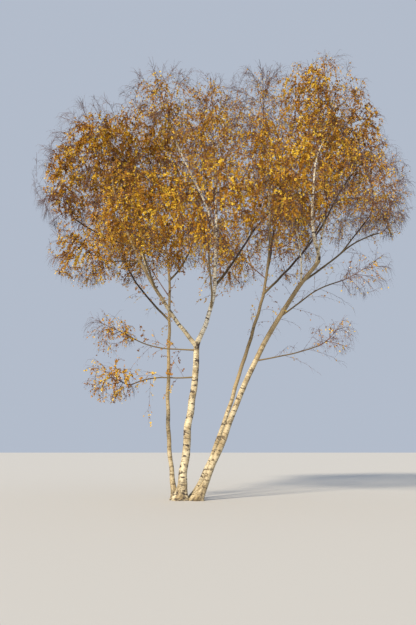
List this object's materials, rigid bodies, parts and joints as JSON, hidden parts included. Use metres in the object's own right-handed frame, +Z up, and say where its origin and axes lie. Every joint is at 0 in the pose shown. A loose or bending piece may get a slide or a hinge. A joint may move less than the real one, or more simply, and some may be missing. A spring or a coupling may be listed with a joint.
{
  "type": "silver birch tree",
  "caption": "Clump-grown silver birch with leaning white stems, forked boughs and an open, rounded crown of hanging twigs and golden autumn leaves, rooted in the ground.",
  "frame": {"origin": "centre of the flat cut at ground level under the middle stem", "axes": "+Z up from the ground, +X to the right along the crown's widest side, +Y away from the side that the picture shows"},
  "size_m": [12.5467, 9.7504, 16.261],
  "materials": {
    "pale_bark": "papery cream-white bark with dark cross marks, and dark furrows near the ground",
    "dark_bark": "smooth brown bark of thin boughs and twigs",
    "amber_leaves": "dry autumn leaf, amber",
    "gold_leaves": "dry autumn leaf, golden",
    "russet_leaves": "dry autumn leaf, russet brown",
    "yellow_leaves": "dry autumn leaf, clear yellow"
  },
  "bodies": {
    "root": {"left_stem": "pale_bark", "middle_stem": "pale_bark", "right_slim_stem": "pale_bark", "right_stem": "pale_bark", "middle_leader": "pale_bark", "left_bough": "pale_bark", "left_rising_bough": "pale_bark", "left_level_bough": "dark_bark", "left_reaching_bough": "dark_bark", "front_left_bough": "dark_bark", "pale_leader": "pale_bark", "inner_front_bough": "dark_bark", "front_middle_bough": "dark_bark", "dark_bough": "dark_bark", "dark_side_bough": "dark_bark", "low_left_upper_bough": "dark_bark", "low_left_lower_bough": "dark_bark", "back_left_bough": "dark_bark", "back_middle_bough": "dark_bark", "long_right_bough": "dark_bark", "outer_back_bough": "dark_bark", "back_right_bough": "dark_bark", "right_leader": "pale_bark", "right_front_bough": "pale_bark", "right_reaching_bough": "dark_bark", "right_outer_bough": "dark_bark", "upright_bough": "pale_bark", "low_right_bough": "dark_bark", "lowest_right_bough": "dark_bark", "leaves_left_dome": "amber_leaves", "leaves_left_rising": "gold_leaves", "leaves_left_outer": "russet_leaves", "leaves_left_low": "yellow_leaves", "leaves_left_front": "amber_leaves", "leaves_pale_top": "gold_leaves", "leaves_inner_front": "russet_leaves", "leaves_middle_top": "yellow_leaves", "leaves_front_middle": "amber_leaves", "leaves_dark_bough": "gold_leaves", "leaves_dark_side": "russet_leaves", "leaves_low_left_upper": "yellow_leaves", "leaves_low_left_lower": "amber_leaves", "leaves_left_stem_top": "gold_leaves", "leaves_heart": "russet_leaves", "leaves_left_back": "yellow_leaves", "leaves_back_left": "amber_leaves", "leaves_back_middle": "gold_leaves", "leaves_slim_top": "russet_leaves", "leaves_hanging": "yellow_leaves", "leaves_back_low": "amber_leaves", "leaves_back_right": "gold_leaves", "leaves_right_shoulder": "russet_leaves", "leaves_outer_back": "yellow_leaves", "leaves_right_top": "amber_leaves", "leaves_right_front": "gold_leaves", "leaves_right_outer": "russet_leaves", "leaves_outer_front": "yellow_leaves", "leaves_upright": "amber_leaves", "leaves_low_right": "gold_leaves", "leaves_lowest_right": "russet_leaves"}
  },
  "joints": []
}
